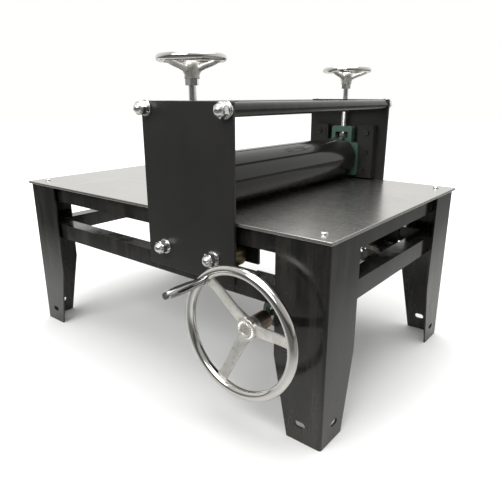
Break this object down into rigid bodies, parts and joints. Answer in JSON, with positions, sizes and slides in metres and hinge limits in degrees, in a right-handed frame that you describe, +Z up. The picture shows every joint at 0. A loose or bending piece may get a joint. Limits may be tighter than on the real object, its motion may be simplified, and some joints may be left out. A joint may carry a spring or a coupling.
{
  "type": "etching press",
  "caption": "Tabletop etching press with a fixed steel bed and a roller carriage that travels along it, driven by a hand wheel, with screw pressure adjustment.",
  "frame": {"origin": "on the surface it stands on, below the middle of the frame", "axes": "+X along the bed towards the drive wheel's end, +Y from the drive wheel's side to the far side, +Z up"},
  "size_m": [0.91, 0.797, 0.6731],
  "materials": {
    "leg_black": "gloss black paint on folded sheet steel",
    "rail_black": "gloss black paint on box section and tube",
    "plate_black": "satin black paint",
    "bed_steel": "ground steel, oiled",
    "bright_steel": "turned bright steel",
    "plated_wheel": "nickel plated, part polished",
    "zinc_steel": "bright zinc plated",
    "roller_black": "gloss black coated steel",
    "cast_green": "green machine paint on a casting",
    "oiled_steel": "oiled, slightly tarnished steel",
    "collar_steel": "heat darkened, oiled steel",
    "chain_steel": "oiled roller chain",
    "sprocket_steel": "blackened steel"
  },
  "bodies": {
    "frame": {"leg_front_left": "leg_black", "leg_front_right": "leg_black", "leg_back_left": "leg_black", "leg_back_right": "leg_black", "upper_long_rails": "rail_black", "upper_end_rails": "rail_black", "lower_long_rails": "rail_black", "lower_end_rails": "rail_black", "leg_packing_plates": "leg_black", "bed_plate": "bed_steel", "bed_screws": "zinc_steel", "bearing_brackets": "plate_black", "bearing_blocks": "cast_green", "bearing_bolts": "zinc_steel", "shaft_bearing_outer_rings": "bright_steel", "idler_bracket": "plate_black", "idler_pin": "bright_steel", "drive_chain": "chain_steel"},
    "carriage": {"side_plate_front": "plate_black", "side_plate_back": "plate_black", "inner_plates": "plate_black", "tie_tubes": "rail_black", "tie_rods": "zinc_steel", "track_axles": "bright_steel", "axle_spacers": "bright_steel", "flat_washers": "zinc_steel", "spring_washers": "zinc_steel", "acorn_nuts": "zinc_steel", "guide_bars": "plate_black", "guide_screws": "sprocket_steel", "screw_beams": "plate_black", "chain_clamp": "plate_black"},
    "pressure_slide": {"takeup_housings": "cast_green", "roller_bearing_outer_rings": "bright_steel"},
    "upper_roller": {"upper_roller_tube": "roller_black", "upper_roller_end_discs": "roller_black", "upper_roller_shaft": "bright_steel", "roller_bearing_inner_rings": "bright_steel"},
    "screw_front": {"pressure_screw_front": "bright_steel", "pressure_hand_wheel_front": "plated_wheel", "screw_nuts_front": "zinc_steel"},
    "screw_back": {"pressure_screw_back": "bright_steel", "pressure_hand_wheel_back": "plated_wheel", "screw_nuts_back": "zinc_steel"},
    "hand_shaft": {"hand_shaft": "bright_steel", "drive_hand_wheel": "plated_wheel", "drive_sprocket": "sprocket_steel", "hand_shaft_collar": "collar_steel", "shaft_bearing_inner_rings": "bright_steel", "crank_grip_spindle": "plated_wheel"},
    "crank_grip": {"crank_grip": "plated_wheel"},
    "idler_sprocket": {"idler_sprocket": "sprocket_steel"},
    "track_roller_front_left": {"track_roller_front_left": "oiled_steel", "track_bearings_front_left": "bright_steel"},
    "track_roller_front_right": {"track_roller_front_right": "oiled_steel", "track_bearings_front_right": "bright_steel"},
    "track_roller_back_left": {"track_roller_back_left": "oiled_steel", "track_bearings_back_left": "bright_steel"},
    "track_roller_back_right": {"track_roller_back_right": "oiled_steel", "track_bearings_back_right": "bright_steel"}
  },
  "joints": [
    {"name": "carriage_travel", "type": "slide", "parent": "frame", "child": "carriage", "axis": [1, 0, 0], "range_m": [-0.381, 0.0889]},
    {"name": "upper_roller_lift", "type": "slide", "parent": "carriage", "child": "pressure_slide", "axis": [0, 0, 1], "range_m": [0, 0.015]},
    {"name": "upper_roller_spin", "type": "hinge", "parent": "pressure_slide", "child": "upper_roller", "pos_m": [0.15, 0, 0.4443], "axis": [0, 1, 0], "range_deg": [-407, 97]},
    {"name": "pressure_screw_front_turn", "type": "hinge", "parent": "pressure_slide", "child": "screw_front", "pos_m": [0.15, -0.284, 0.632], "axis": [0, 0, 1], "range_deg": [0, 2702]},
    {"name": "pressure_screw_back_turn", "type": "hinge", "parent": "pressure_slide", "child": "screw_back", "pos_m": [0.15, 0.284, 0.632], "axis": [0, 0, 1], "range_deg": [0, 2702]},
    {"name": "hand_shaft_spin", "type": "hinge", "parent": "frame", "child": "hand_shaft", "pos_m": [0.306, 0, 0.208], "axis": [0, 1, 0], "range_deg": [-677, 160]},
    {"name": "crank_grip_spin", "type": "hinge", "parent": "hand_shaft", "child": "crank_grip", "pos_m": [0.23828, -0.4, 0.29468], "axis": [0, 1, 0], "continuous": true},
    {"name": "idler_spin", "type": "hinge", "parent": "frame", "child": "idler_sprocket", "pos_m": [-0.355, 0.175, 0.208], "axis": [0, 1, 0], "range_deg": [-677, 160]},
    {"name": "track_roller_front_left_spin", "type": "hinge", "parent": "carriage", "child": "track_roller_front_left", "pos_m": [0.085, -0.264, 0.3167], "axis": [0, 1, 0], "range_deg": [-178, 755]},
    {"name": "track_roller_front_right_spin", "type": "hinge", "parent": "carriage", "child": "track_roller_front_right", "pos_m": [0.215, -0.264, 0.3167], "axis": [0, 1, 0], "range_deg": [-178, 755]},
    {"name": "track_roller_back_left_spin", "type": "hinge", "parent": "carriage", "child": "track_roller_back_left", "pos_m": [0.085, 0.264, 0.3167], "axis": [0, 1, 0], "range_deg": [-178, 755]},
    {"name": "track_roller_back_right_spin", "type": "hinge", "parent": "carriage", "child": "track_roller_back_right", "pos_m": [0.215, 0.264, 0.3167], "axis": [0, 1, 0], "range_deg": [-178, 755]}
  ],
  "couplings": [
    {"joint": "upper_roller_spin", "follows": "carriage_travel", "rad_per_m": 18.519},
    {"joint": "hand_shaft_spin", "follows": "carriage_travel", "rad_per_m": 30.921},
    {"joint": "idler_spin", "follows": "carriage_travel", "rad_per_m": 30.921},
    {"joint": "pressure_screw_front_turn", "follows": "upper_roller_lift", "rad_per_m": 3141.6},
    {"joint": "pressure_screw_back_turn", "follows": "upper_roller_lift", "rad_per_m": 3141.6},
    {"joint": "track_roller_front_left_spin", "follows": "carriage_travel", "rad_per_m": -34.483},
    {"joint": "track_roller_front_right_spin", "follows": "carriage_travel", "rad_per_m": -34.483},
    {"joint": "track_roller_back_left_spin", "follows": "carriage_travel", "rad_per_m": -34.483},
    {"joint": "track_roller_back_right_spin", "follows": "carriage_travel", "rad_per_m": -34.483}
  ]
}
